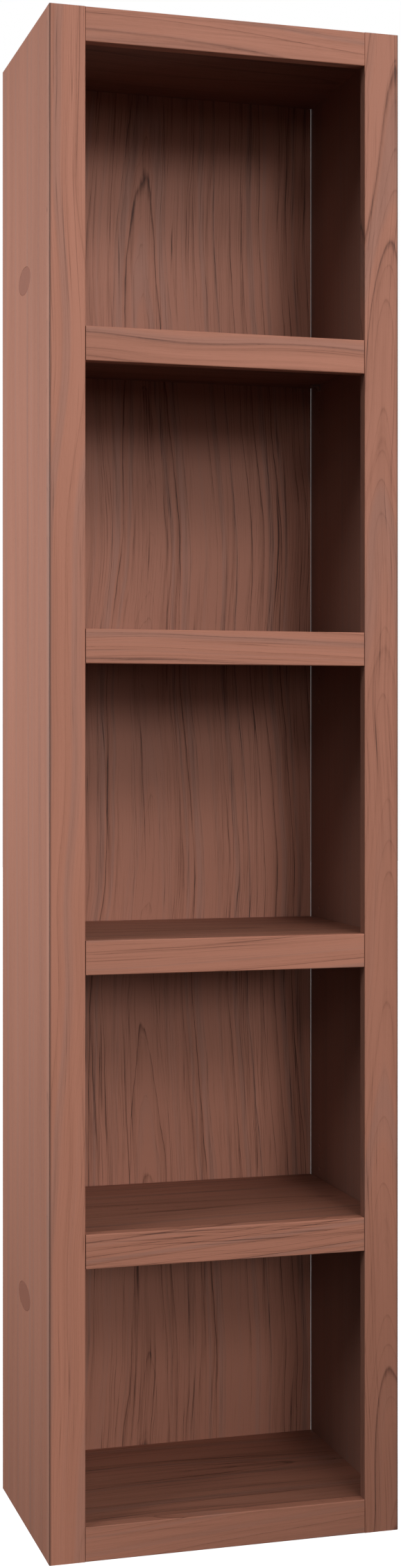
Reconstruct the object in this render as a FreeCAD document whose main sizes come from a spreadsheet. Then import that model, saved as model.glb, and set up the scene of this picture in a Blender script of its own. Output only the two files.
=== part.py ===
"""A tall, narrow bookcase with four adjustable shelves.

Thin foil-wrapped boards stand behind deeper front strips: a stile up each side, a rail at the top
and the bottom, and a lip under the front of each shelf. Sizes are in millimetres. +Z is up, the
front faces -Y, and the origin is on the floor at the centre of the footprint.
"""
import FreeCAD, Part
import os
import re

import Sketcher

# The driving dimensions, one spreadsheet row each.
DRIVING = [
    ("case_width", 452),
    ("case_depth", 300),
    ("case_height", 1900),
    ("board", 16),
    ("strip", 16),
    ("stile_width", 45),
    ("rail_height", 42.4),
    ("back_board", 3),
    ("back_gap", 1.1),
    ("rail_gap", 0.25),
    ("shelf_gap", 1),
    ("lip_gap", 0.75),
    ("strip_rounding", 1.2),
    ("seam_rounding", 0.35),
    ("shelf_1_top", 399.5),
    ("shelf_2_top", 758.8),
    ("shelf_3_top", 1140.1),
    ("shelf_4_top", 1510.2),
    ("pin_pitch", 32),
    ("pin_edge_distance", 37),
    ("pin_diameter", 4.8),
    ("pin_hole_diameter", 5),
    ("pin_hole_depth", 12),
    ("pin_reach", 12),
    ("pin_shank_length", 9.5),
    ("pin_shank_root", 0.5),
    ("pin_collar_thickness", 1.5),
    ("pin_collar_bottom", 6),
    ("pin_brace_reach", 4),
    ("pin_brace_bottom", 4),
    ("pin_tongue_width", 9),
    ("pin_tongue_thickness", 2.5),
    ("dowel_diameter", 7.8),
    ("dowel_length", 28),
    ("dowel_hole_diameter", 8),
    ("dowel_shallow_hole", 10.5),
    ("dowel_deep_hole", 18.5),
    ("dowel_chamfer", 0.8),
    ("dowel_end_gap", 0.5),
    ("side_dowel_spacing", 140),
    ("stile_dowel_pitch", 340),
    ("rail_dowel_pitch", 140),
    ("bolt_spacing", 210),
    ("bolt_hole_diameter", 5),
    ("bolt_hole_depth", 12),
    ("bolt_channel_diameter", 8),
    ("bolt_thread_length", 11.5),
    ("bolt_thread_diameter", 4.8),
    ("bolt_collar_length", 2.5),
    ("bolt_collar_diameter", 7),
    ("bolt_shank_end", 18.5),
    ("bolt_shank_diameter", 5.6),
    ("bolt_neck_end", 22.5),
    ("bolt_neck_diameter", 3.8),
    ("bolt_head_end", 26.5),
    ("bolt_head_diameter", 6),
    ("cam_distance", 24),
    ("cam_diameter", 15),
    ("cam_bore_diameter", 15.2),
    ("cam_bore_depth", 12.8),
    ("cam_sink", 1.5),
    ("cam_height", 11),
    ("cam_slot_shift", 2.5),
    ("cam_slot_length", 13),
    ("cam_slot_width", 6.6),
    ("cam_slot_height", 8.5),
    ("driver_slot_length", 9),
    ("driver_slot_width", 2),
    ("driver_slot_depth", 1.5),
    ("cam_cap_thickness", 1.4),
    ("nail_pitch", 90),
    ("nail_length", 20),
    ("nail_diameter", 1.4),
    ("nail_hole_diameter", 1.6),
    ("nail_hole_depth", 17.5),
    ("nail_head_diameter", 3.4),
    ("nail_head_hole_diameter", 3.6),
    ("nail_head_thickness", 0.6),
    ("side_bore_width", 72),
    ("side_bore_height", 35),
    ("side_bore_depth", 12),
    ("side_cap_width", 71.8),
    ("side_cap_height", 34.8),
    ("side_cap_forward", 6),
    ("side_cap_low", 293),
    ("side_cap_high", 1591),
    ("side_cap_chamfer", 0.4),
    ("side_cap_disc", 2.2),
    ("side_cap_skirt_end", 10),
    ("side_cap_skirt_inset", 0.6),
    ("side_cap_skirt_wall", 1.6),
]
ALIASES = {alias for alias, _ in DRIVING}
SHELVES = (1, 2, 3, 4)
PIN_ROWS = 5
RAIL_DOWELS = (-1, 0, 1)
STILE_DOWELS = (-2.5, -1.5, -0.5, 0.5, 1.5, 2.5)
NAILS = (-2, -1, 0, 1, 2)

# Lengths that several pieces share, as spreadsheet formulas.
INSIDE_WIDTH = "(case_width - 2 * board)"
OPENING_WIDTH = "(case_width - 2 * stile_width)"
PANEL_DEPTH = "(case_depth - strip)"
PANEL_MIDDLE = "(strip / 2)"
FRAME_BOARD_DEPTH = "(case_depth - strip - back_board)"
FRAME_BOARD_MIDDLE = "(strip / 2 - back_board / 2)"
SHELF_DEPTH = "(case_depth - strip - back_board - shelf_gap)"
SHELF_MIDDLE = "(strip / 2 - back_board / 2 - shelf_gap / 2)"
STRIP_MIDDLE = "(strip / 2 - case_depth / 2)"
TOP_BOARD_MIDDLE = "(case_height - board / 2)"
BOTTOM_BOARD_MIDDLE = "(rail_height - board / 2)"
FRAME_MIDDLE = "((case_height + rail_height - board) / 2)"
FRAME_SPREAD = "((case_height - rail_height) / 2)"

doc = FreeCAD.newDocument("bookcase")
sheet = doc.addObject("Spreadsheet::Sheet", "Dimensions")
for row, (alias, number) in enumerate(DRIVING, start=1):
    sheet.set(f"A{row}", alias.replace("_", " "))
    sheet.set(f"B{row}", str(number))
    sheet.setAlias(f"B{row}", alias)
doc.recompute()
parts = []


def value(formula):
    """The number that a formula over the sheet's aliases gives."""
    return float(sheet.evalExpression(str(formula)))


def bind(thing, path, formula):
    """Tie a property to a formula over the sheet's aliases."""
    linked = re.sub(r"[a-z]\w*", lambda word: f"Dimensions.{word[0]}" if word[0] in ALIASES else word[0],
                    str(formula))
    thing.setExpression(path, linked)


def new_part(label, x="0", y="0", z="0"):
    """A body for one piece, or one group of like pieces, with its own centre."""
    body = doc.addObject("PartDesign::Body", label)
    body.Label = label
    body.AllowCompound = True
    for axis, formula in zip("xyz", (x, y, z)):
        bind(body, f"Placement.Base.{axis}", formula)
    parts.append(body)
    return body


def origin_plane(body, role):
    """One of the body's own origin planes."""
    return next(item for item in body.Origin.OriginFeatures if item.Role == role)


def new_sketch(body, role, offset="0", across="0", up="0"):
    """A sketch on an origin plane, moved by offset along the plane's normal."""
    sketch = body.newObject("Sketcher::SketchObject", f"{body.Label}_sketch")
    sketch.AttachmentSupport = [(origin_plane(body, role), "")]
    sketch.MapMode = "FlatFace"
    for axis, formula in zip("xyz", (across, up, offset)):
        bind(sketch, f"AttachmentOffset.Base.{axis}", formula)
    return sketch


def constrain(sketch, kind, *where, size=None):
    """Add a constraint, with its size tied to a formula where it has one."""
    if size is None:
        sketch.addConstraint(Sketcher.Constraint(kind, *where))
        return
    index = sketch.addConstraint(Sketcher.Constraint(kind, *where, value(size)))
    bind(sketch, f"Constraints[{index}]", size)


def draw_rectangle(sketch, width, height):
    """A rectangle centred on the sketch's origin."""
    half_width = value(width) / 2
    half_height = value(height) / 2
    corners = [FreeCAD.Vector(x * half_width, y * half_height, 0)
               for x, y in ((-1, -1), (1, -1), (1, 1), (-1, 1))]
    sides = [sketch.addGeometry(Part.LineSegment(corners[i], corners[(i + 1) % 4])) for i in range(4)]
    for i in range(4):
        constrain(sketch, "Coincident", sides[i], 2, sides[(i + 1) % 4], 1)
        constrain(sketch, "Vertical" if i % 2 else "Horizontal", sides[i])
    constrain(sketch, "Symmetric", sides[0], 1, sides[1], 2, -1, 1)
    constrain(sketch, "Distance", sides[0], size=width)
    constrain(sketch, "Distance", sides[1], size=height)


def draw_circles(sketch, diameter, centres):
    """Equal circles, each centre a pair of formulas."""
    for across, up in centres:
        centre = FreeCAD.Vector(value(across), value(up), 0)
        circle = sketch.addGeometry(Part.Circle(centre, FreeCAD.Vector(0, 0, 1), value(diameter) / 2))
        constrain(sketch, "DistanceX", -1, 1, circle, 3, size=across)
        constrain(sketch, "DistanceY", -1, 1, circle, 3, size=up)
        constrain(sketch, "Diameter", circle, size=diameter)


def draw_ovals(sketch, width, height, centres):
    """Equal level ellipses, each centre a pair of formulas."""
    for across, up in centres:
        centre = FreeCAD.Vector(value(across), value(up), 0)
        right = centre + FreeCAD.Vector(value(width) / 2, 0, 0)
        top = centre + FreeCAD.Vector(0, value(height) / 2, 0)
        oval = sketch.addGeometry(Part.Ellipse(right, top, centre))
        sketch.exposeInternalGeometry(oval)
        long_axis = oval + 1
        short_axis = oval + 2
        constrain(sketch, "DistanceX", -1, 1, oval, 3, size=across)
        constrain(sketch, "DistanceY", -1, 1, oval, 3, size=up)
        constrain(sketch, "Horizontal", long_axis)
        constrain(sketch, "Distance", long_axis, size=width)
        constrain(sketch, "Distance", short_axis, size=height)


def draw_outline(sketch, points):
    """A closed outline of straight lines through points given as pairs of formulas."""
    spots = [FreeCAD.Vector(value(across), value(up), 0) for across, up in points]
    count = len(spots)
    lines = [sketch.addGeometry(Part.LineSegment(spots[i], spots[(i + 1) % count])) for i in range(count)]
    for i, (across, up) in enumerate(points):
        constrain(sketch, "Coincident", lines[i - 1], 2, lines[i], 1)
        constrain(sketch, "DistanceX", -1, 1, lines[i], 1, size=across)
        constrain(sketch, "DistanceY", -1, 1, lines[i], 1, size=up)


def pad(body, sketch, length, midplane=False, reverse=False):
    """Raise a sketch into a solid."""
    feature = body.newObject("PartDesign::Pad", f"{body.Label}_pad")
    feature.Profile = sketch
    bind(feature, "Length", length)
    if midplane:
        feature.SideType = "Symmetric"
    feature.Reversed = reverse
    body.Tip = feature
    return feature


def pocket(body, sketch, depth, reverse=False):
    """Cut a sketch into the solid, against the sketch's normal unless reversed."""
    doc.recompute()
    before = body.Shape.Volume
    feature = body.newObject("PartDesign::Pocket", f"{body.Label}_pocket")
    feature.Profile = sketch
    bind(feature, "Length", depth)
    feature.Reversed = reverse
    body.Tip = feature
    doc.recompute()
    if body.Shape.Volume > before - 0.1:
        raise RuntimeError(f"{feature.Name} cuts nothing from {body.Label}")
    return feature


def revolve(body, sketch):
    """Turn an outline about the sketch's horizontal axis."""
    feature = body.newObject("PartDesign::Revolution", f"{body.Label}_turned")
    feature.Profile = sketch
    feature.ReferenceAxis = (sketch, ["H_Axis"])
    feature.Angle = 360
    body.Tip = feature
    return feature


def mirror_group(body, features, roles):
    """Repeat the features in the body's origin planes, one plane after another."""
    mirrors = []
    for role in roles:
        mirror = body.newObject("PartDesign::Mirrored", f"{body.Label}_mirror")
        mirror.MirrorPlane = (origin_plane(body, role), [""])
        mirrors.append(mirror)
    group = body.newObject("PartDesign::MultiTransform", f"{body.Label}_group")
    group.Originals = features
    group.Transformations = mirrors
    body.Tip = group
    return group


def long_edges(shape, along, test):
    """Names of the straight edges that run along one axis and pass the test."""
    names = []
    for number, edge in enumerate(shape.Edges, start=1):
        start, end = edge.firstVertex().Point, edge.lastVertex().Point
        step = end - start
        if abs(abs(getattr(step, along)) - edge.Length) < 1e-6 and test((start + end) / 2):
            names.append(f"Edge{number}")
    return names


def round_edges(body, base, radius, along, test):
    """Round the long edges of a board or strip whose middles pass the test."""
    doc.recompute()
    feature = body.newObject("PartDesign::Fillet", f"{body.Label}_rounding")
    feature.Base = (base, long_edges(base.Shape, along, test))
    bind(feature, "Radius", radius)
    body.Tip = feature
    return feature


def shelf_underside(number):
    """Height of a shelf board's underside, as a formula."""
    return f"(shelf_{number}_top - board)"


def pin_line(number):
    """Height of the pin holes that a shelf rests over, as a formula."""
    return f"(shelf_{number}_top - board - pin_diameter / 2)"


def drill_shelf_holes(body, side):
    """Two columns of pin holes per shelf in a side panel's inner face."""
    spread = f"({PANEL_DEPTH} / 2 - pin_edge_distance)"
    for number in SHELVES:
        centres = [(f"{column} * {spread}", f"{pin_line(number)} - case_height / 2 + {row} * pin_pitch")
                   for row in range(-(PIN_ROWS // 2), PIN_ROWS // 2 + 1) for column in (-1, 1)]
        sketch = new_sketch(body, "YZ_Plane", f"{side} * -board / 2")
        draw_circles(sketch, "pin_hole_diameter", centres)
        pocket(body, sketch, "pin_hole_depth", reverse=side > 0)


def make_side_panel(label, side):
    """An upright side panel: side is -1 on the left and 1 on the right."""
    body = new_part(label, f"{side} * (case_width - board) / 2", PANEL_MIDDLE, "case_height / 2")
    outline = new_sketch(body, "YZ_Plane")
    draw_rectangle(outline, PANEL_DEPTH, "case_height")
    block = pad(body, outline, "board", midplane=True)
    eased = round_edges(body, block, "seam_rounding", "z", lambda middle: middle.x * side > 0)
    round_edges(body, eased, "seam_rounding", "y", lambda middle: middle.x * side > 0)
    drill_shelf_holes(body, side)
    heights = [f"{TOP_BOARD_MIDDLE} - case_height / 2", f"{BOTTOM_BOARD_MIDDLE} - case_height / 2"]
    shift = f"({FRAME_BOARD_MIDDLE} - {PANEL_MIDDLE})"
    for spacing, diameter, depth in (("side_dowel_spacing", "dowel_hole_diameter", "dowel_shallow_hole"),
                                     ("bolt_spacing", "bolt_hole_diameter", "bolt_hole_depth")):
        sketch = new_sketch(body, "YZ_Plane", f"{side} * -board / 2")
        draw_circles(sketch, diameter, [(f"{shift} + {end} * {spacing} / 2", height)
                                        for height in heights for end in (-1, 1)])
        pocket(body, sketch, depth, reverse=side > 0)
    front = new_sketch(body, "XZ_Plane", f"{PANEL_DEPTH} / 2")
    draw_circles(front, "dowel_hole_diameter", [("0", f"{step} * stile_dowel_pitch")
                                                for step in STILE_DOWELS])
    pocket(body, front, "dowel_deep_hole")
    bores = new_sketch(body, "YZ_Plane", f"{side} * board / 2")
    draw_ovals(bores, "side_bore_width", "side_bore_height",
               [("-side_cap_forward", f"{height} - case_height / 2") for height in ("side_cap_low", "side_cap_high")])
    pocket(body, bores, "side_bore_depth", reverse=side < 0)


def make_stile(label, side):
    """A full-height front strip over a side panel's front edge."""
    body = new_part(label, f"{side} * (case_width - stile_width) / 2", STRIP_MIDDLE, "case_height / 2")
    outline = new_sketch(body, "XY_Plane")
    draw_rectangle(outline, "stile_width", "strip")
    block = pad(body, outline, "case_height", midplane=True)
    eased = round_edges(body, block, "strip_rounding", "z", lambda middle: middle.y < 0)
    round_edges(body, eased, "seam_rounding", "z", lambda middle: middle.x * side > 0 and middle.y > 0)
    rear = new_sketch(body, "XZ_Plane", "-strip / 2")
    draw_circles(rear, "dowel_hole_diameter", [(f"{side} * (stile_width - board) / 2",
                                                f"{step} * stile_dowel_pitch") for step in STILE_DOWELS])
    pocket(body, rear, "dowel_shallow_hole", reverse=True)


def drill_front_edge(body, depth_of_board):
    """Dowel holes in the front edge of a board, for the strip in front of it."""
    front = new_sketch(body, "XZ_Plane", f"{depth_of_board} / 2")
    draw_circles(front, "dowel_hole_diameter", [(f"{step} * rail_dowel_pitch", "0") for step in RAIL_DOWELS])
    pocket(body, front, "dowel_deep_hole")


def make_frame_board(label, height, cam_side):
    """The fixed top or bottom board: cam_side is 1 where the cams open upwards, -1 downwards."""
    body = new_part(label, "0", FRAME_BOARD_MIDDLE, height)
    outline = new_sketch(body, "XY_Plane")
    draw_rectangle(outline, INSIDE_WIDTH, FRAME_BOARD_DEPTH)
    block = pad(body, outline, "board", midplane=True)
    round_edges(body, block, "seam_rounding", "x", lambda middle: middle.y < 0)
    drill_front_edge(body, FRAME_BOARD_DEPTH)
    for end in (-1, 1):
        for spacing, diameter, depth in (("side_dowel_spacing", "dowel_hole_diameter", "dowel_deep_hole"),
                                         ("bolt_spacing", "bolt_channel_diameter", "cam_distance")):
            sketch = new_sketch(body, "YZ_Plane", f"{end} * {INSIDE_WIDTH} / 2")
            draw_circles(sketch, diameter, [(f"{place} * {spacing} / 2", "0") for place in (-1, 1)])
            pocket(body, sketch, depth, reverse=end < 0)
    cams = new_sketch(body, "XY_Plane", f"{cam_side} * board / 2")
    draw_circles(cams, "cam_bore_diameter", [(f"{end} * ({INSIDE_WIDTH} / 2 - cam_distance)",
                                              f"{place} * bolt_spacing / 2")
                                             for end in (-1, 1) for place in (-1, 1)])
    pocket(body, cams, "cam_bore_depth", reverse=cam_side < 0)
    rear = new_sketch(body, "XZ_Plane", f"-{FRAME_BOARD_DEPTH} / 2")
    draw_circles(rear, "nail_hole_diameter", [(f"{step} * nail_pitch", "0") for step in NAILS])
    pocket(body, rear, "nail_hole_depth", reverse=True)


def make_front_strip(label, width, middle, dowel_height):
    """A rail or a shelf lip, with the dowel holes in its rear face."""
    body = new_part(label, "0", STRIP_MIDDLE, middle)
    outline = new_sketch(body, "YZ_Plane")
    draw_rectangle(outline, "strip", "rail_height")
    block = pad(body, outline, width, midplane=True)
    eased = round_edges(body, block, "strip_rounding", "x", lambda middle: middle.y < 0)
    round_edges(body, eased, "seam_rounding", "x", lambda middle: middle.y > 0)
    rear = new_sketch(body, "XZ_Plane", "-strip / 2")
    draw_circles(rear, "dowel_hole_diameter", [(f"{step} * rail_dowel_pitch", f"{dowel_height} - {middle}")
                                               for step in RAIL_DOWELS])
    pocket(body, rear, "dowel_shallow_hole", reverse=True)


def make_shelf_board(label, number):
    """A shelf board, a little narrower and shallower than the inside of the case."""
    body = new_part(label, "0", SHELF_MIDDLE, f"{shelf_underside(number)} + board / 2")
    outline = new_sketch(body, "XY_Plane")
    draw_rectangle(outline, f"({INSIDE_WIDTH} - 2 * shelf_gap)", SHELF_DEPTH)
    block = pad(body, outline, "board", midplane=True)
    round_edges(body, block, "seam_rounding", "x", lambda middle: True)
    drill_front_edge(body, SHELF_DEPTH)


def make_back_panel(label):
    """The thin back, set in between the side panels behind the top and bottom boards."""
    body = new_part(label, "0", "(case_depth - back_board) / 2", FRAME_MIDDLE)
    outline = new_sketch(body, "XZ_Plane")
    draw_rectangle(outline, f"({INSIDE_WIDTH} - 2 * back_gap)", "(case_height - rail_height + board)")
    pad(body, outline, "back_board", midplane=True)
    spots = [(f"{step} * nail_pitch", f"{end} * {FRAME_SPREAD}") for step in NAILS for end in (-1, 1)]
    for diameter, depth in (("nail_head_hole_diameter", "nail_head_thickness"),
                            ("nail_hole_diameter", "back_board")):
        sketch = new_sketch(body, "XZ_Plane", "-back_board / 2")
        draw_circles(sketch, diameter, spots)
        pocket(body, sketch, depth, reverse=True)


def make_back_nails(label):
    """The nails that hold the back to the top and bottom boards, heads flush."""
    body = new_part(label, "0", "case_depth / 2", FRAME_MIDDLE)
    spots = [(f"{step} * nail_pitch", f"{end} * {FRAME_SPREAD}") for step in NAILS for end in (-1, 1)]
    for diameter, length in (("nail_head_diameter", "nail_head_thickness"),
                             ("nail_diameter", "nail_length")):
        sketch = new_sketch(body, "XZ_Plane")
        draw_circles(sketch, diameter, spots)
        pad(body, sketch, length)


def chamfer_ends(body, base):
    """Break the round edges at the ends of dowels."""
    doc.recompute()
    feature = body.newObject("PartDesign::Chamfer", f"{body.Label}_chamfer")
    feature.Base = (base, [f"Edge{number}" for number, edge in enumerate(base.Shape.Edges, start=1)
                           if edge.Closed])
    bind(feature, "Size", "dowel_chamfer")
    body.Tip = feature
    return feature


def make_front_dowels(label, y, z, centres):
    """Dowels along Y: their front ends sit in a strip, the rest in the board behind it."""
    body = new_part(label, "0", y, z)
    sketch = new_sketch(body, "XZ_Plane")
    draw_circles(sketch, "dowel_diameter", centres)
    chamfer_ends(body, pad(body, sketch, "dowel_length", reverse=True))


def make_side_dowels(label):
    """The dowels between the side panels and the ends of the top and bottom boards."""
    body = new_part(label, "0", FRAME_BOARD_MIDDLE, FRAME_MIDDLE)
    sketch = new_sketch(body, "YZ_Plane", f"{INSIDE_WIDTH} / 2 - dowel_deep_hole + dowel_end_gap")
    draw_circles(sketch, "dowel_diameter", [("side_dowel_spacing / 2", FRAME_SPREAD)])
    dowel = pad(body, sketch, "dowel_length")
    ends = chamfer_ends(body, dowel)
    mirror_group(body, [dowel, ends], ("YZ_Plane", "XZ_Plane", "XY_Plane"))


def make_cam_bolts(label):
    """Connecting bolts: a threaded end in the side panel, a collar, a shank, a neck and a head."""
    body = new_part(label, "0", FRAME_BOARD_MIDDLE, FRAME_MIDDLE)
    sketch = new_sketch(body, "XZ_Plane", "-bolt_spacing / 2", f"{INSIDE_WIDTH} / 2", FRAME_SPREAD)
    stops = ["bolt_thread_length", "0", "-bolt_collar_length", "-bolt_shank_end", "-bolt_neck_end",
             "-bolt_head_end"]
    outline = [(stops[0], "0")]
    for name, start, stop in zip(("thread", "collar", "shank", "neck", "head"), stops, stops[1:]):
        radius = f"bolt_{name}_diameter / 2"
        outline += [(start, radius), (stop, radius)]
    outline.append((stops[-1], "0"))
    draw_outline(sketch, outline)
    bolt = revolve(body, sketch)
    mirror_group(body, [bolt], ("YZ_Plane", "XZ_Plane", "XY_Plane"))


def make_cam_housings(label):
    """Round cams that grip the bolt heads, with a screwdriver slot in the open end."""
    body = new_part(label, "0", FRAME_BOARD_MIDDLE, FRAME_MIDDLE)
    centre = (f"{INSIDE_WIDTH} / 2 - cam_distance", "bolt_spacing / 2")
    top = f"{FRAME_SPREAD} + board / 2 - cam_sink"
    disc_sketch = new_sketch(body, "XY_Plane", top, *centre)
    draw_circles(disc_sketch, "cam_diameter", [("0", "0")])
    disc = pad(body, disc_sketch, "cam_height", reverse=True)
    slot_sketch = new_sketch(body, "XY_Plane", f"{top} - cam_height",
                             f"{centre[0]} + cam_slot_shift", centre[1])
    draw_rectangle(slot_sketch, "cam_slot_length", "cam_slot_width")
    slot = pocket(body, slot_sketch, "cam_slot_height", reverse=True)
    driver_sketch = new_sketch(body, "XY_Plane", top, *centre)
    draw_rectangle(driver_sketch, "driver_slot_length", "driver_slot_width")
    driver = pocket(body, driver_sketch, "driver_slot_depth")
    mirror_group(body, [disc, slot, driver], ("YZ_Plane", "XZ_Plane", "XY_Plane"))


def make_cam_cover_caps(label):
    """Plastic discs that close the cam bores in the top board."""
    body = new_part(label, "0", FRAME_BOARD_MIDDLE, "case_height")
    sketch = new_sketch(body, "XY_Plane", "0", f"{INSIDE_WIDTH} / 2 - cam_distance", "bolt_spacing / 2")
    draw_circles(sketch, "cam_diameter", [("0", "0")])
    disc = pad(body, sketch, "cam_cap_thickness", reverse=True)
    mirror_group(body, [disc], ("YZ_Plane", "XZ_Plane"))


def make_shelf_pins(label, number):
    """Four shelf supports: a round shank in the panel and a flat tongue under the shelf."""
    body = new_part(label, "0", PANEL_MIDDLE, pin_line(number))
    spread = f"({PANEL_DEPTH} / 2 - pin_edge_distance)"
    profile = new_sketch(body, "XZ_Plane", f"-{spread}", f"{INSIDE_WIDTH} / 2")
    top = "pin_diameter / 2"
    under = "pin_diameter / 2 - pin_tongue_thickness"
    draw_outline(profile, [("0", top), ("-pin_reach", top), ("-pin_reach", under),
                           ("-pin_brace_reach", under), ("-pin_collar_thickness", "-pin_brace_bottom"),
                           ("-pin_collar_thickness", "-pin_collar_bottom"), ("0", "-pin_collar_bottom")])
    tongue = pad(body, profile, "pin_tongue_width", midplane=True)
    root = new_sketch(body, "YZ_Plane", f"{INSIDE_WIDTH} / 2 - pin_shank_root", spread)
    draw_circles(root, "pin_diameter", [("0", "0")])
    shank = pad(body, root, "(pin_shank_length + pin_shank_root)")
    mirror_group(body, [tongue, shank], ("YZ_Plane", "XZ_Plane"))


def chamfer_rims(body, base, size):
    """Take the sharp corner off the rims that lie in the body's own plane x = 0."""
    doc.recompute()
    rims = [f"Edge{number}" for number, edge in enumerate(base.Shape.Edges, start=1)
            if max(abs(edge.BoundBox.XMin), abs(edge.BoundBox.XMax)) < 0.01]
    feature = body.newObject("PartDesign::Chamfer", f"{body.Label}_chamfer")
    feature.Base = (base, rims)
    bind(feature, "Size", size)
    body.Tip = feature


def make_side_caps(label, side):
    """Push-in oval caps that close the oval bores in a side panel's outer face."""
    body = new_part(label, f"{side} * case_width / 2", f"({PANEL_MIDDLE} - side_cap_forward)",
                    "(side_cap_low + side_cap_high) / 2")
    centres = [("0", f"{end} * (side_cap_high - side_cap_low) / 2") for end in (-1, 1)]
    face = new_sketch(body, "YZ_Plane")
    draw_ovals(face, "side_cap_width", "side_cap_height", centres)
    disc = pad(body, face, "side_cap_disc", reverse=side > 0)
    chamfer_rims(body, disc, "side_cap_chamfer")
    ring = new_sketch(body, "YZ_Plane", f"{-side} * side_cap_disc")
    for inset in ("side_cap_skirt_inset", "(side_cap_skirt_inset + side_cap_skirt_wall)"):
        draw_ovals(ring, f"(side_cap_width - 2 * {inset})", f"(side_cap_height - 2 * {inset})", centres)
    pad(body, ring, "(side_cap_skirt_end - side_cap_disc)", reverse=side > 0)


def check_document():
    """Stop if any object of the document, or any sub-part's shape, has failed."""
    for item in doc.Objects:
        if "Invalid" in item.State or "Error" in item.State:
            raise RuntimeError(f"{item.Name} failed: {item.State}")
    for body in parts:
        if body.Shape.isNull() or not body.Shape.isValid():
            raise RuntimeError(f"{body.Label} has no valid shape")


make_side_panel("side_panel_left", -1)
make_side_panel("side_panel_right", 1)
make_stile("front_stile_left", -1)
make_stile("front_stile_right", 1)
make_frame_board("top_board", TOP_BOARD_MIDDLE, 1)
make_frame_board("bottom_board", BOTTOM_BOARD_MIDDLE, -1)
RAIL_WIDTH = f"({OPENING_WIDTH} - 2 * rail_gap)"
LIP_WIDTH = f"({OPENING_WIDTH} - 2 * lip_gap)"
make_front_strip("top_rail", RAIL_WIDTH, "(case_height - rail_height / 2)", TOP_BOARD_MIDDLE)
make_front_strip("bottom_rail", RAIL_WIDTH, "(rail_height / 2)", BOTTOM_BOARD_MIDDLE)
make_back_panel("back_panel")
make_back_nails("back_nails")
make_cam_bolts("cam_bolts")
make_cam_housings("cam_housings")
make_cam_cover_caps("cam_cover_caps")
make_side_dowels("side_dowels")
DOWEL_FRONT = "(strip - dowel_shallow_hole + dowel_end_gap - case_depth / 2)"
make_front_dowels("rail_dowels", DOWEL_FRONT, FRAME_MIDDLE,
                  [(f"{step} * rail_dowel_pitch", f"{end} * {FRAME_SPREAD}")
                   for step in RAIL_DOWELS for end in (-1, 1)])
make_front_dowels("stile_dowels", DOWEL_FRONT, "case_height / 2",
                  [(f"{side} * (case_width - board) / 2", f"{step} * stile_dowel_pitch")
                   for side in (-1, 1) for step in STILE_DOWELS])
make_side_caps("side_caps_left", -1)
make_side_caps("side_caps_right", 1)
for shelf in SHELVES:
    board_middle = f"({shelf_underside(shelf)} + board / 2)"
    make_shelf_board(f"shelf_{shelf}_board", shelf)
    make_front_strip(f"shelf_{shelf}_lip", LIP_WIDTH, f"(shelf_{shelf}_top - rail_height / 2)", board_middle)
    make_front_dowels(f"shelf_{shelf}_dowels", DOWEL_FRONT, board_middle,
                      [(f"{step} * rail_dowel_pitch", "0") for step in RAIL_DOWELS])
    make_shelf_pins(f"shelf_{shelf}_pins", shelf)

doc.recompute()
check_document()
os.makedirs("parts", exist_ok=True)
for body in parts:
    body.Shape.exportStep(f"parts/{body.Label}.step")
    box = body.Shape.BoundBox
    print(f"{body.Label:18s} solids {len(body.Shape.Solids):2d}  volume {body.Shape.Volume:11.1f}  "
          f"x {box.XMin:7.1f} {box.XMax:7.1f}  y {box.YMin:7.1f} {box.YMax:7.1f}  "
          f"z {box.ZMin:7.1f} {box.ZMax:7.1f}")
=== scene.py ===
# %% [markdown]
# # A bookcase with adjustable shelves
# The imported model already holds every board, strip and fitting at its real size and place, so this
# lesson adds what the eye reads as material: the printed walnut foil with its growth rings, the raw
# edges of particle board, hardboard behind, moulded caps, plated steel, and soft studio light.
# The first lines load that model as a fixed frame. Nothing in it is moved or resized.

# %% Load the frame
import math

import bpy
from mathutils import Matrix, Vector


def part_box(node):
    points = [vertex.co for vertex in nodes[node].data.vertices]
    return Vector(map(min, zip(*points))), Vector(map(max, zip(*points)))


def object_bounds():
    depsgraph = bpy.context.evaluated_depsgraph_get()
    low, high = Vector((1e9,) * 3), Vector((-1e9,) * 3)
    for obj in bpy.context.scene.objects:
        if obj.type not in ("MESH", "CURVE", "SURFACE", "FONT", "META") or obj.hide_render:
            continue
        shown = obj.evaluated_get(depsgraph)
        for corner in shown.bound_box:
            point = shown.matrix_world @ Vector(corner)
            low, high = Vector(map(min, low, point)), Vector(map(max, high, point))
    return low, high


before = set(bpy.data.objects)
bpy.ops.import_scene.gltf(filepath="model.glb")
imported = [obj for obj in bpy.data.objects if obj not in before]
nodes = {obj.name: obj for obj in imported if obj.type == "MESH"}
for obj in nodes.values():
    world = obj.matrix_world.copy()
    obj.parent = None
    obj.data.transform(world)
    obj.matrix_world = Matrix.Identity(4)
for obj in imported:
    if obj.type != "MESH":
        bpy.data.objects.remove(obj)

cad_box = [list(corner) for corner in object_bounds()]
print("CAD box", cad_box)

# %% [markdown]
# ## Measures taken from the frame
# A maker would lay a tape on the real thing. Here the same sizes are read from the boards' boxes,
# so a change to the design carries through to every line that is drawn on them. The foil patterns
# are worked out in millimetres, because pores and rings are easiest to think of at that scale.

# %% Read the main sizes
MM_PER_METRE = 1000.0
case_low, case_high = (Vector(corner) for corner in cad_box)
front_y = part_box("front_stile_left")[0].y
print("case, in millimetres", [round(side * MM_PER_METRE) for side in case_high - case_low])

# %% [markdown]
# ## The camera
# A bookcase is usually pictured from nearly three metres away with the lens level, at a height near
# the middle of the case, so that its uprights stay upright. The camera here looks in from the left by
# about sixteen degrees. A small shift of the lens frames the case without tilting the camera, which
# is how an architect's camera keeps verticals parallel.

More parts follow.
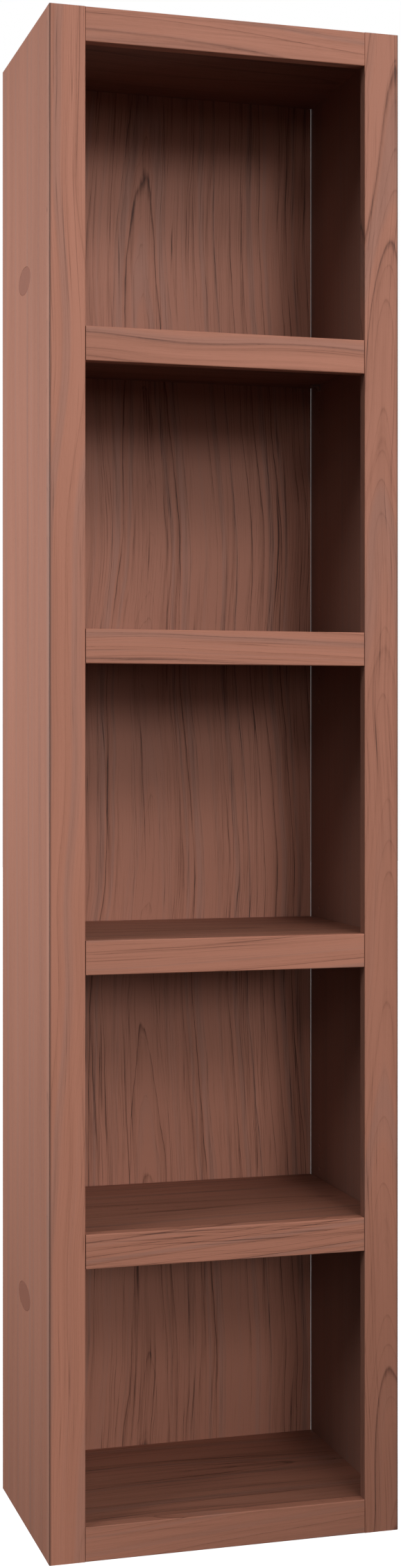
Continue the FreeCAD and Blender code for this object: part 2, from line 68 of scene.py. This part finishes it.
# %% Set up the camera
SENSOR_WIDTH = 36.0
LENS_LENGTH = 52.13
LENS_SHIFT = (-0.0155, -0.0271)
CAMERA_PLACE = Vector((-0.8019, -2.8569, 1.0021))
CAMERA_TURN = math.radians(-16.43)
camera_data = bpy.data.cameras.new("studio_camera")
camera_data.sensor_width = SENSOR_WIDTH
camera_data.lens = LENS_LENGTH
camera_data.shift_x, camera_data.shift_y = LENS_SHIFT
camera = bpy.data.objects.new("studio_camera", camera_data)
camera.location = CAMERA_PLACE
camera.rotation_euler = (math.radians(90), 0, CAMERA_TURN)
bpy.context.scene.collection.objects.link(camera)
bpy.context.scene.camera = camera
bpy.context.scene.view_settings.view_transform = "Standard"
print("camera", [round(value, 3) for value in camera.location])

# %% [markdown]
# ## Studio light
# Two distant soft lights come from the front: a low one that reaches the backs of the compartments and
# a higher one that lights the shelf tops. Weaker ones on both sides of them soften the shadows under
# each shelf, a wide one brightens the left, and one from behind lights the rear for the other views.
# They are suns with a wide disc, because a sun's shadows keep the same slope at every shelf. Three
# softboxes stand closer. Two make the front brighter towards the top right, and the third, a cool one,
# fills the outer side.

# %% Add the lights
def direction_from(azimuth, elevation):
    """Unit vector towards a light: azimuth 0 is straight in front, positive to the right."""
    flat = math.cos(math.radians(elevation))
    return Vector((flat * math.sin(math.radians(azimuth)), -flat * math.cos(math.radians(azimuth)),
                   math.sin(math.radians(elevation))))


def add_sun(name, azimuth, elevation, strength, disc, colour=(1.0, 1.0, 1.0)):
    """A distant light, with its disc's width in degrees."""
    data = bpy.data.lights.new(name, "SUN")
    data.energy = strength
    data.angle = math.radians(disc)
    data.color = colour
    light = bpy.data.objects.new(name, data)
    light.rotation_euler = direction_from(azimuth, elevation).to_track_quat("Z", "Y").to_euler()
    bpy.context.scene.collection.objects.link(light)
    return light


def add_softbox(name, place, target, size, strength, colour=(1.0, 1.0, 1.0)):
    """A rectangular soft light that faces its target."""
    data = bpy.data.lights.new(name, "AREA")
    data.shape = "RECTANGLE"
    data.size, data.size_y = size
    data.energy = strength
    data.color = colour
    light = bpy.data.objects.new(name, data)
    light.location = place
    light.rotation_euler = (Vector(place) - Vector(target)).to_track_quat("Z", "Y").to_euler()
    bpy.context.scene.collection.objects.link(light)
    return light


COOL = (1.0, 1.10, 1.17)
DISC = 12
add_sun("low_key", azimuth=4, elevation=12.5, strength=0.57, disc=DISC)
add_sun("high_key", azimuth=4, elevation=31.5, strength=0.39, disc=DISC)
add_sun("level_left", azimuth=-12, elevation=3, strength=0.13, disc=DISC)
add_sun("high_left", azimuth=-12, elevation=22, strength=0.19, disc=DISC)
add_sun("level_right", azimuth=40, elevation=3, strength=0.17, disc=DISC)
add_sun("wide_left", azimuth=-65, elevation=35, strength=0.56, disc=20)
add_sun("from_behind", azimuth=155, elevation=35, strength=0.9, disc=30)
add_softbox("top_right_box", (1.0, -1.9, 2.6), (0, 0, 1.0), (1.0, 1.0), 12.0)
add_softbox("right_box", (1.6, -0.9, 1.45), (0, 0, 1.4), (0.7, 0.9), 7.0)
add_softbox("side_box", (-1.8, 0.4, 1.3), (0, 0, 1.3), (1.0, 1.6), 30.5, COOL)

# %% [markdown]
# ## Surroundings
# A white room would light every corner of the case evenly and wash out the dark upper corners of the
# compartments. So the surroundings look white to the camera, but send out only a little cool light,
# and most of it from above.

# %% Make the room
SKY_STRENGTH = 0.17
GROUND_STRENGTH = 0.05
ROOM_TINT = (0.86, 1.06, 1.14, 1)
HORIZON_BAND = (-0.15, 0.25)  # upward share of the view where the room changes from ground to sky


def add_room():
    """White to the eye, dim as a light source, dimmer below the horizon."""
    world = bpy.data.worlds.new("studio_room")
    bpy.context.scene.world = world
    world.use_nodes = True
    tree = world.node_tree
    tree.nodes.clear()
    position = tree.nodes.new("ShaderNodeTexCoord")
    height = tree.nodes.new("ShaderNodeSeparateXYZ")
    glow = tree.nodes.new("ShaderNodeMapRange")
    glow.inputs["From Min"].default_value, glow.inputs["From Max"].default_value = HORIZON_BAND
    glow.inputs["To Min"].default_value = GROUND_STRENGTH
    glow.inputs["To Max"].default_value = SKY_STRENGTH
    dim = tree.nodes.new("ShaderNodeBackground")
    dim.inputs["Color"].default_value = ROOM_TINT
    white = tree.nodes.new("ShaderNodeBackground")
    white.inputs["Color"].default_value = (1, 1, 1, 1)
    ray = tree.nodes.new("ShaderNodeLightPath")
    choose = tree.nodes.new("ShaderNodeMixShader")
    output = tree.nodes.new("ShaderNodeOutputWorld")
    tree.links.new(position.outputs["Generated"], height.inputs[0])
    tree.links.new(height.outputs["Z"], glow.inputs["Value"])
    tree.links.new(glow.outputs["Result"], dim.inputs["Strength"])
    tree.links.new(ray.outputs["Is Camera Ray"], choose.inputs["Fac"])
    tree.links.new(dim.outputs[0], choose.inputs[1])
    tree.links.new(white.outputs[0], choose.inputs[2])
    tree.links.new(choose.outputs[0], output.inputs["Surface"])


add_room()
print("room light, from ground to sky", GROUND_STRENGTH, SKY_STRENGTH)

# %% [markdown]
# ## A short way to write shader recipes
# Every finish below is a recipe of shader nodes. Wiring them one by one is long to read, so this small
# helper adds a node, takes plain numbers or other nodes' outputs as its inputs, and hands back the
# output. A recipe then reads like arithmetic.

# %% Recipe helper
class Recipe:
    """One material and the nodes that are added to it."""

    def __init__(self, name):
        self.material = bpy.data.materials.new(name)
        self.material.use_nodes = True
        self.tree = self.material.node_tree
        self.tree.nodes.clear()

    def feed(self, socket, source):
        """Link a node's output to a socket, or set a plain number or colour on it."""
        if isinstance(source, bpy.types.NodeSocket):
            self.tree.links.new(source, socket)
        else:
            socket.default_value = (*source, 1) if isinstance(source, tuple) and len(source) == 3 else source

    def add(self, kind, inputs=(), output=0, **settings):
        """Add a node, set its options and inputs, and return one of its outputs."""
        node = self.tree.nodes.new(kind)
        for name, setting in settings.items():
            setattr(node, name, setting)
        for key, source in dict(inputs).items():
            self.feed(node.inputs[key], source)
        return node.outputs[output]

    def math(self, operation, first, second=0.0, clamp=False):
        return self.add("ShaderNodeMath", {0: first, 1: second}, operation=operation, use_clamp=clamp)

    def plus(self, *terms):
        total = terms[0]
        for term in terms[1:]:
            total = self.math("ADD", total, term)
        return total

    def times(self, first, second):
        return self.math("MULTIPLY", first, second)

    def swing(self, noise, reach):
        """Noise moved to swing evenly about zero, over a range of reach."""
        return self.times(self.plus(noise, -0.5), reach)

    def join(self, x, y, z):
        return self.add("ShaderNodeCombineXYZ", {0: x, 1: y, 2: z})

    def split(self, vector):
        node = self.tree.nodes.new("ShaderNodeSeparateXYZ")
        self.tree.links.new(vector, node.inputs[0])
        return list(node.outputs)

    def noise(self, vector, detail=2.0, roughness=0.5, output=0):
        """Smooth noise, from 0 to 1, one wave per unit of the vector. Output Color gives three at once."""
        return self.add("ShaderNodeTexNoise", {"Vector": vector, "Scale": 1.0, "Detail": detail,
                                               "Roughness": roughness}, output=output)

    def noise_line(self, value, detail=1.0):
        """Noise along a single number."""
        return self.add("ShaderNodeTexNoise", {"W": value, "Scale": 1.0, "Detail": detail},
                        noise_dimensions="1D")

    def ramp(self, value, stops):
        """Colour or grey by value: stops are (position, grey or colour)."""
        node = self.tree.nodes.new("ShaderNodeValToRGB")
        self.tree.links.new(value, node.inputs[0])
        band = node.color_ramp
        while len(band.elements) < len(stops):
            band.elements.new(0.5)
        for element, (position, colour) in zip(band.elements, stops):
            element.position = position
            red, green, blue = colour if isinstance(colour, tuple) else (colour, colour, colour)
            element.color = (red, green, blue, 1)
        return node.outputs[0]

    def spread(self, value, low, high, out_low=0.0, out_high=1.0):
        """Stretch a range of values to another, with a soft start and end."""
        return self.add("ShaderNodeMapRange", {"Value": value, "From Min": low, "From Max": high,
                                               "To Min": out_low, "To Max": out_high},
                        interpolation_type="SMOOTHSTEP")

    def blend(self, share, first, second):
        """Colour between first and second."""
        node = self.tree.nodes.new("ShaderNodeMix")
        node.data_type = "RGBA"
        factor, first_colour, second_colour, result = 0, 6, 7, 2
        self.feed(node.inputs[factor], share)
        self.feed(node.inputs[first_colour], first)
        self.feed(node.inputs[second_colour], second)
        return node.outputs[result]

    def finish(self, colour, roughness, height=None, bump=0.0, depth=0.0001, fixed=None):
        """Close the recipe with a surface shader. Values that are the same all over are set on it."""
        shader = self.tree.nodes.new("ShaderNodeBsdfPrincipled")
        self.feed(shader.inputs["Base Color"], colour)
        self.feed(shader.inputs["Roughness"], roughness)
        for key, number in (fixed or {}).items():
            self.feed(shader.inputs[key], number)
        if height is not None:
            normal = self.add("ShaderNodeBump", {"Height": height, "Strength": bump, "Distance": depth})
            self.tree.links.new(normal, shader.inputs["Normal"])
        output = self.tree.nodes.new("ShaderNodeOutputMaterial")
        self.tree.links.new(shader.outputs[0], output.inputs[0])
        return self.material


# %% [markdown]
# ## Walnut foil
# The boards are particle board wrapped in printed foil, and the print copies flat-sawn walnut. In a
# real plank the dark lines are growth rings, cut lengthwise: where the saw runs near the heart they
# close into long pointed arches, and further out they run almost straight. So the recipe does the
# same. It measures each point's distance from a leaning, slightly crooked tree heart, cuts that
# distance into rings of uneven width, and draws each ring's dark edge. Fine fibres, short pores and a
# slow drift of tone come on top. Each board gets its own heart, so no two share a pattern.

# %% Walnut foil recipe
FOIL_LIGHT = (0.480, 0.195, 0.126)
FOIL_MIDDLE = (0.400, 0.159, 0.101)
FOIL_LATE = (0.270, 0.104, 0.066)
FOIL_DARK = (0.112, 0.045, 0.032)
# Painted shade: a dull grey-brown blended onto faces that sit in shade, such as undersides and inner faces.
PAINTED_SHADE_INK = (0.130, 0.104, 0.092)


def grain_position(recipe, order, centre):
    """Millimetres from the centre, as (across the grain, into the board, along the grain)."""
    place = recipe.split(recipe.add("ShaderNodeTexCoord", output="Object"))
    return [recipe.times(recipe.plus(place["xyz".index(axis)], -centre["xyz".index(axis)]), MM_PER_METRE)
            for axis in order]


def stretched_noise(recipe, spot, width, length, seed, **options):
    """Noise whose grains are so many millimetres wide and so many long."""
    across, depth, along = spot
    vector = recipe.join(recipe.plus(recipe.times(across, 1 / width), seed),
                         recipe.plus(recipe.times(depth, 1 / width), seed * 1.7),
                         recipe.plus(recipe.times(along, 1 / length), seed * 0.6))
    return recipe.noise(vector, **options)


# %% [markdown]
# ### Growth rings
# The heart is a line inside the tree. It sways slowly along the plank (crook) and quivers at a finer
# scale (wave). The taper of the trunk and a slow drift of the distance along the grain are what close
# the rings into arches. The dark edge of a ring rises slowly through the summer wood and ends at once,
# where the next spring begins.

# %% Growth rings
SWAY_LENGTH = 420
SAFE_DISTANCE = 400.0  # added to every distance, so that the rings never count below zero
RING_EDGE = [(0.0, 0.22), (0.05, 0.02), (0.55, 0.06), (0.89, 0.28), (0.965, 1.0), (1.0, 0.22)]
CLOSE_RINGS = 4.3  # faint rings within each broad one


def heart_distance(recipe, spot, seed, heart, taper, drift, crook, wave):
    """Sideways distance and full distance from the heart, in millimetres."""
    across, depth, along = spot
    sway = recipe.split(recipe.noise(recipe.join(seed * 2.3, seed, recipe.times(along, 1 / SWAY_LENGTH)),
                                     detail=1.0, output="Color"))
    ripple = recipe.split(stretched_noise(recipe, spot, 30, 120, seed, detail=3.0, output="Color"))
    side = recipe.plus(across, -heart[0], recipe.swing(sway[0], crook * 2),
                       recipe.swing(ripple[0], wave * 2))
    into = recipe.plus(depth, -heart[1], recipe.swing(sway[1], crook * 0.5),
                       recipe.swing(ripple[1], wave * 2))
    straight = recipe.math("SQRT", recipe.plus(recipe.times(side, side), recipe.times(into, into)))
    distance = recipe.plus(straight, recipe.times(along, taper), recipe.swing(sway[2], drift * 2),
                           SAFE_DISTANCE)
    return side, distance


def ring_lines(recipe, distance, width, seed, unevenness=0.55):
    """Dark ring edges for a distance from the heart, each with its own strength."""
    drawn_out = recipe.noise_line(recipe.plus(recipe.times(distance, 0.4 / width), seed))
    count = recipe.plus(recipe.times(distance, 1 / width), recipe.times(drawn_out, unevenness * 2))
    edge = recipe.ramp(recipe.math("FRACT", count), RING_EDGE)
    number = recipe.plus(recipe.math("FLOOR", count), seed * 13.0)
    weight = recipe.add("ShaderNodeTexWhiteNoise", {"W": number}, noise_dimensions="1D")
    return recipe.times(edge, recipe.spread(weight, 0.05, 0.95, 0.18, 1.0))


# %% [markdown]
# ### Tone of the wood
# Rings alone look like a drawing. Real walnut also has hair-fine threads that come and go in patches,
# fibres, longer streaks, broad bands of tone, and short open pores that crowd near the ring edges.
# They are added up to one darkness, which later picks the ink. Some rings turn greyer than others.

# %% Tone of the wood
def walnut_tone(recipe, spot, seed, ring, lines, fibre, bands, **heartwood):
    """Darkness from 0 to 1, the pores and the grey zones, for a point (across, depth, along)."""
    side, distance = heart_distance(recipe, spot, seed, **heartwood)
    _, depth, along = spot
    slanted = (side, depth, along)
    broad_lines = ring_lines(recipe, distance, ring, seed)
    close_lines = ring_lines(recipe, distance, ring / CLOSE_RINGS, seed + 5.0, 0.4)
    fibres = stretched_noise(recipe, spot, 1.6, 60, seed + 3.0, detail=3.0, roughness=0.65)
    streaks = stretched_noise(recipe, slanted, 6.5, 330, seed + 7.0, detail=3.0, roughness=0.6)
    clouds = stretched_noise(recipe, slanted, 26, 460, seed + 11.0, detail=1.0)
    strands = stretched_noise(recipe, slanted, 3.6, 700, seed + 13.0, detail=1.0)
    threads = recipe.spread(recipe.math("ABSOLUTE", recipe.plus(strands, -0.5)), 0.0, 0.030, 1.0, 0.0)
    patches = recipe.spread(stretched_noise(recipe, slanted, 26, 420, seed + 29.0), 0.38, 0.60)
    grains = stretched_noise(recipe, spot, 0.5, 9, seed + 17.0, detail=1.0)
    pores = recipe.times(recipe.spread(grains, 0.58, 0.70), recipe.plus(recipe.times(broad_lines, 0.7), 0.45))
    ring_number = recipe.times(distance, 1 / ring)
    grey = recipe.spread(recipe.noise_line(recipe.plus(ring_number, seed + 23.0), detail=2.0), 0.50, 0.72)
    tone = recipe.plus(0.30 - lines * 0.42,
                       recipe.times(broad_lines, lines),
                       recipe.times(close_lines, lines * 0.5),
                       recipe.times(recipe.times(threads, patches), lines * 0.75),
                       recipe.swing(fibres, fibre),
                       recipe.swing(streaks, fibre * 1.7),
                       recipe.swing(clouds, bands),
                       recipe.times(pores, 0.20),
                       recipe.times(grey, lines * 0.14))
    return recipe.math("ADD", tone, 0.0, clamp=True), pores, grey


# %% [markdown]
# ### Bare board
# The foil stops at the edges that nobody sees. The boards' rear edges and their feet show pressed wood
# chips, and the thin back shows the fine brown fibre of hardboard. Cells of random grey stand for the
# chips, drawn out along the board because a press lays them flat.

# %% Bare board
def raw_board(recipe, spot, seed):
    """Pressed wood chips, seen where a board is sawn and left bare."""
    across, depth, along = spot
    chips = recipe.add("ShaderNodeTexVoronoi",
                       {"Vector": recipe.join(recipe.times(across, 0.55), recipe.times(depth, 0.55),
                                              recipe.times(along, 0.28)), "Scale": 1.0}, output="Color")
    dust = stretched_noise(recipe, spot, 0.7, 0.9, seed, detail=2.0)
    mixed = recipe.plus(recipe.times(recipe.split(chips)[0], 0.6), recipe.times(dust, 0.4))
    return recipe.ramp(mixed, [(0.1, (0.16, 0.095, 0.05)), (0.45, (0.36, 0.24, 0.135)),
                               (0.9, (0.52, 0.38, 0.235))])


def hardboard(recipe, spot, seed):
    """The bare rear of a thin back: pressed wood fibre with a faint woven mesh print."""
    across, depth, along = spot
    fibre = stretched_noise(recipe, spot, 2.2, 3.0, seed, detail=4.0, roughness=0.7)
    cloud = stretched_noise(recipe, spot, 60, 80, seed + 2.0, detail=2.0)
    weft, warp = (recipe.math("SINE", recipe.times(place, 2.6)) for place in (across, along))
    mesh = recipe.times(weft, warp)
    mixed = recipe.plus(recipe.times(fibre, 0.55), recipe.times(cloud, 0.35), recipe.times(mesh, 0.03), 0.05)
    return recipe.ramp(mixed, [(0.2, (0.15, 0.085, 0.045)), (0.5, (0.25, 0.150, 0.082)),
                               (0.8, (0.34, 0.215, 0.125))])


# %% [markdown]
# ### One board's foil
# A board's pattern is centred on its box in the frame. Faces are told apart by the direction they look
# in, so one material can carry foil in front, painted shade (a darker grey-brown) on side faces, inner
# faces and undersides, and bare chips behind. The outer front corner of a stile gets a thin dark line.

# %% Foil for one board
CORNER_LINE_REACH = 3.2  # millimetres
CORNER_LINE_COLOUR = (0.10, 0.045, 0.032)


def facing(recipe, direction):
    """1 on the faces that look along an axis, such as +y or -z, and 0 elsewhere."""
    normal = recipe.split(recipe.add("ShaderNodeTexCoord", output="Normal"))["xyz".index(direction[1])]
    sign = 1.0 if direction[0] == "+" else -1.0
    return recipe.spread(recipe.times(normal, sign), 0.90, 0.97)


def near(recipe, axis, place):
    """1 at a plane across one axis, fading to 0 within the corner line's reach."""
    position = recipe.split(recipe.add("ShaderNodeTexCoord", output="Object"))["xyz".index(axis)]
    gap = recipe.math("ABSOLUTE", recipe.times(recipe.plus(position, -place), MM_PER_METRE))
    return recipe.spread(gap, 0.0, CORNER_LINE_REACH, 1.0, 0.0)


def walnut_foil(name, node, order, seed, heart, taper, ring, crook, lines, drift=0.0, wave=2.2,
                fibre=0.40, bands=0.42, bare=(), raw=raw_board, corner=None, shade=1.0,
                tint=(1.0, 1.0, 1.0), painted_shade_faces=()):
    """Foil for one board. Order names its axes across, into and along the grain."""
    recipe = Recipe(name)
    low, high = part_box(node)
    spot = grain_position(recipe, order, (low + high) / 2)
    tone, pores, grey = walnut_tone(recipe, spot, seed, ring, lines, fibre, bands, heart=heart,
                                    taper=taper, drift=drift, crook=crook, wave=wave)
    inks = [tuple(part * shade * share for part, share in zip(ink, tint))
            for ink in (FOIL_LIGHT, FOIL_MIDDLE, FOIL_LATE, FOIL_DARK)]
    colour = recipe.ramp(tone, list(zip((0.0, 0.34, 0.68, 1.0), inks)))
    greyer = recipe.add("ShaderNodeHueSaturation", {"Color": colour, "Saturation": 0.86, "Value": 0.86})
    colour = recipe.blend(recipe.times(grey, 0.5), colour, greyer)
    roughness = recipe.plus(0.50, recipe.times(pores, 0.16), recipe.times(tone, 0.05))
    height = recipe.plus(recipe.times(pores, -1.0), recipe.times(tone, -0.35))
    if corner is not None:
        # A thin dark line drawn along the stile's outer front corner.
        corner_line = recipe.times(near(recipe, "x", corner[0]), near(recipe, "y", corner[1]))
        colour = recipe.blend(recipe.times(corner_line, 0.95), colour, CORNER_LINE_COLOUR)
    # Painted shade: each listed face is blended towards the grey-brown shade ink.
    for direction, share in painted_shade_faces:
        colour = recipe.blend(recipe.times(facing(recipe, direction), share), colour, PAINTED_SHADE_INK)
    if bare:
        board_colour = raw(recipe, spot, seed)
        for direction in bare:
            face = facing(recipe, direction)
            colour = recipe.blend(face, colour, board_colour)
            roughness = recipe.plus(recipe.times(face, 0.4), roughness)
    return recipe.finish(colour, roughness, height, bump=0.35, depth=0.00012,
                         fixed={"Specular IOR Level": 0.2})


def dress(node, material):
    """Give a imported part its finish."""
    mesh = nodes[node].data
    mesh.materials.clear()
    mesh.materials.append(material)
    print("dressed", node, "in", material.name)


# %% [markdown]
# ## Foil on each board
# The stiles are narrow strips from near the heart, so long pointed arches run up them, most clearly on
# the right one. The rails and lips lie on their side, and show the same arches as low hills. The side
# panels are plainer, with fine straight lines, and their inner faces carry painted shade. The back is the
# busiest, with many dark lines. The shelves and other level boards are streaky, and painted darker all
# over, with painted shade under them, standing in for the shade inside the case.

# %% Dress the stiles and the side panels
# The stiles' side faces and the side panels' inner faces carry painted shade.
dress("front_stile_left", walnut_foil(
    "foil_stile_left", "front_stile_left", "xyz", 3.1, heart=(26, 6), taper=0.03, drift=24, ring=17, crook=20,
    wave=1.3, lines=0.58, fibre=0.22, bare=("-z",), corner=(case_low.x, front_y), shade=1.08,
    painted_shade_faces=(("-x", 0.22), ("+x", 0.3))))
dress("front_stile_right", walnut_foil(
    "foil_stile_right", "front_stile_right", "xyz", 8.4, heart=(8, 11), taper=0.085, drift=34, ring=22,
    crook=30, wave=1.2, lines=0.72, fibre=0.34, bare=("-z",), corner=(case_high.x, front_y), shade=0.90,
    painted_shade_faces=(("-x", 0.3), ("+x", 0.15))))
for side, inner_face, seed in (("left", "+x", 12.7), ("right", "-x", 15.2)):
    dress(f"side_panel_{side}", walnut_foil(
        f"foil_panel_{side}", f"side_panel_{side}", "yxz", seed, heart=(240, 120), taper=0.01, ring=13,
        crook=10, wave=1.2, lines=0.10, fibre=0.11, bare=("+y", "-z"), shade=0.90,
        painted_shade_faces=((inner_face, 0.45),)))

# %% Dress the back, the rails and the lips
dress("back_panel", walnut_foil(
    "foil_back", "back_panel", "xyz", 21.3, heart=(-30, 24), taper=0.045, ring=13, crook=30, wave=3.6,
    lines=0.92, fibre=1.0, bands=0.7, bare=("+y",), raw=hardboard, shade=0.95, tint=(1.0, 1.05, 1.085)))
dress("top_rail", walnut_foil(
    "foil_top_rail", "top_rail", "zyx", 31.0, heart=(-34, 10), taper=0.045, ring=18, crook=14, wave=1.6,
    lines=0.5))
dress("bottom_rail", walnut_foil(
    "foil_bottom_rail", "bottom_rail", "zyx", 33.5, heart=(-40, 10), taper=-0.06, ring=9, crook=16, wave=1.8,
    lines=0.6, bare=("-z",), shade=0.95))
LIP_GRAIN = {1: dict(heart=(60, 10), ring=9, crook=8, taper=0.075, lines=0.85, fibre=0.5),
             2: dict(heart=(44, 14), ring=10, crook=22, taper=0.01, lines=0.75, fibre=0.45),
             3: dict(heart=(-60, 20), ring=13, crook=12, taper=0.015, lines=0.6),
             4: dict(heart=(-52, 10), ring=30, crook=24, taper=0.0, lines=0.5)}
for number, grain in LIP_GRAIN.items():
    lip = f"shelf_{number}_lip"
    dress(lip, walnut_foil(f"foil_{lip}", lip, "zyx", 50.0 + 3.7 * number, wave=1.6, **grain))

# %% Dress the level boards
# Painted shade: shade=0.70 darkens the level boards all over, and their undersides get painted shade too,
# standing in for the shade inside the case.
LEVEL_BOARD = dict(taper=0.05, ring=16, wave=3.0, lines=0.72, fibre=0.85, bands=1.0, shade=0.70,
                   painted_shade_faces=(("-z", 0.45),))
for board, seed in (("top_board", 41.0), ("bottom_board", 43.7)):
    dress(board, walnut_foil(f"foil_{board}", board, "yzx", seed, heart=(10, 40), crook=22, bare=("+y",),
                             **LEVEL_BOARD))
for number in LIP_GRAIN:
    board = f"shelf_{number}_board"
    dress(board, walnut_foil(f"foil_{board}", board, "yzx", 70.0 + 4.3 * number, heart=(-20, 40), crook=24,
                             **LEVEL_BOARD))
print("foils", len([m for m in bpy.data.materials if m.name.startswith("foil")]))

# %% [markdown]
# ## Fittings
# Beech dowels, plated pins, bolts and nails, die-cast cams and moulded brown caps. Most of them are
# hidden once the case is built, but a lifted shelf shows the pins under it.

# %% Recipes for the fittings
CASE_ORIGIN = (0, 0, 0)


def beech(name):
    """Straight-grained beech with its short dark flecks."""
    recipe = Recipe(name)
    spot = grain_position(recipe, "xzy", CASE_ORIGIN)
    fibres = stretched_noise(recipe, spot, 0.8, 30, 1.0, detail=3.0)
    flecks = recipe.spread(stretched_noise(recipe, spot, 0.4, 2.5, 4.0, detail=1.0), 0.62, 0.74)
    tone = recipe.plus(fibres, recipe.times(flecks, 0.35))
    colour = recipe.ramp(tone, [(0.2, (0.66, 0.45, 0.27)), (0.9, (0.42, 0.25, 0.14))])
    return recipe.finish(colour, 0.6, tone, bump=0.3)


def plated_steel(name, colour=(0.66, 0.65, 0.62), rough=0.28):
    """Bright plating with faint barrel marks."""
    recipe = Recipe(name)
    spot = grain_position(recipe, "xyz", CASE_ORIGIN)
    cloud = stretched_noise(recipe, spot, 3.0, 3.0, 2.0, detail=4.0, roughness=0.65)
    shade = recipe.blend(cloud, tuple(part * 0.8 for part in colour), colour)
    return recipe.finish(shade, recipe.plus(rough, recipe.times(cloud, 0.2)), cloud, bump=0.15,
                         fixed={"Metallic": 1.0})


def moulded_plastic(name, colour):
    """Brown plastic with the fine spark-eroded texture of its mould."""
    recipe = Recipe(name)
    spot = grain_position(recipe, "xyz", CASE_ORIGIN)
    pebble = stretched_noise(recipe, spot, 0.5, 0.5, 6.0, detail=2.0)
    cloud = stretched_noise(recipe, spot, 14.0, 14.0, 9.0, detail=2.0)
    shade = recipe.blend(cloud, tuple(part * 0.93 for part in colour), tuple(part * 1.07 for part in colour))
    return recipe.finish(shade, recipe.plus(0.40, recipe.times(pebble, 0.16)), pebble, bump=0.22,
                         depth=0.00005, fixed={"Specular IOR Level": 0.25})


beech_dowel = beech("beech_dowel")
steel = plated_steel("plated_steel")
zinc = plated_steel("cast_zinc", (0.48, 0.48, 0.49), 0.42)
cap_plastic = moulded_plastic("brown_plastic", (0.292, 0.108, 0.069))
for node in nodes:
    if node.endswith("dowels"):
        dress(node, beech_dowel)
    elif node.endswith("pins") or node in ("cam_bolts", "back_nails"):
        dress(node, steel)
dress("cam_housings", zinc)
for node in ("cam_cover_caps", "side_caps_left", "side_caps_right"):
    dress(node, cap_plastic)
print("undressed nodes", [node for node in nodes if not nodes[node].data.materials])

# %% [markdown]
# ## Floor and flag
# The floor is a plain pale sheet with a slight glow of its own, so that it stays near white although
# the room gives little light. It sends no light back to the case. A flag is a studio's black card. This
# one stands in front, to the right, and shades the foot of the case, as something standing there would.
# The camera doesn't see it.

# %% Add the floor and the flag
FLOOR_HALF = 15.0
FLOOR_GLOW = {"Emission Strength": 0.72, "Emission Color": (1, 1, 1, 1)}
FLAG_LEFT, FLAG_RIGHT, FLAG_TOP = 0.15, 1.6, 0.80
FLAG_PLACE = -2.4


def add_sheet(name, corners, material):
    """A flat four-cornered sheet that only dresses the set and throws no reflection on the case."""
    mesh = bpy.data.meshes.new(name)
    mesh.from_pydata(corners, [], [(0, 1, 2, 3)])
    mesh.materials.append(material)
    sheet = bpy.data.objects.new(name, mesh)
    bpy.context.scene.collection.objects.link(sheet)
    sheet.visible_glossy = False
    return sheet


floor = add_sheet("floor", [(-FLOOR_HALF, -FLOOR_HALF, 0), (FLOOR_HALF, -FLOOR_HALF, 0),
                            (FLOOR_HALF, FLOOR_HALF, 0), (-FLOOR_HALF, FLOOR_HALF, 0)],
                  Recipe("pale_floor").finish((0.85, 0.85, 0.85), 0.7, fixed=FLOOR_GLOW))
floor.visible_diffuse = False
flag = add_sheet("flag", [(FLAG_LEFT, FLAG_PLACE, 0), (FLAG_RIGHT, FLAG_PLACE, 0),
                          (FLAG_RIGHT, FLAG_PLACE, FLAG_TOP), (FLAG_LEFT, FLAG_PLACE, FLAG_TOP)],
                 Recipe("black_cloth").finish((0.01, 0.01, 0.01), 0.9))
flag.visible_camera = False
print("stage", floor.name, flag.name)
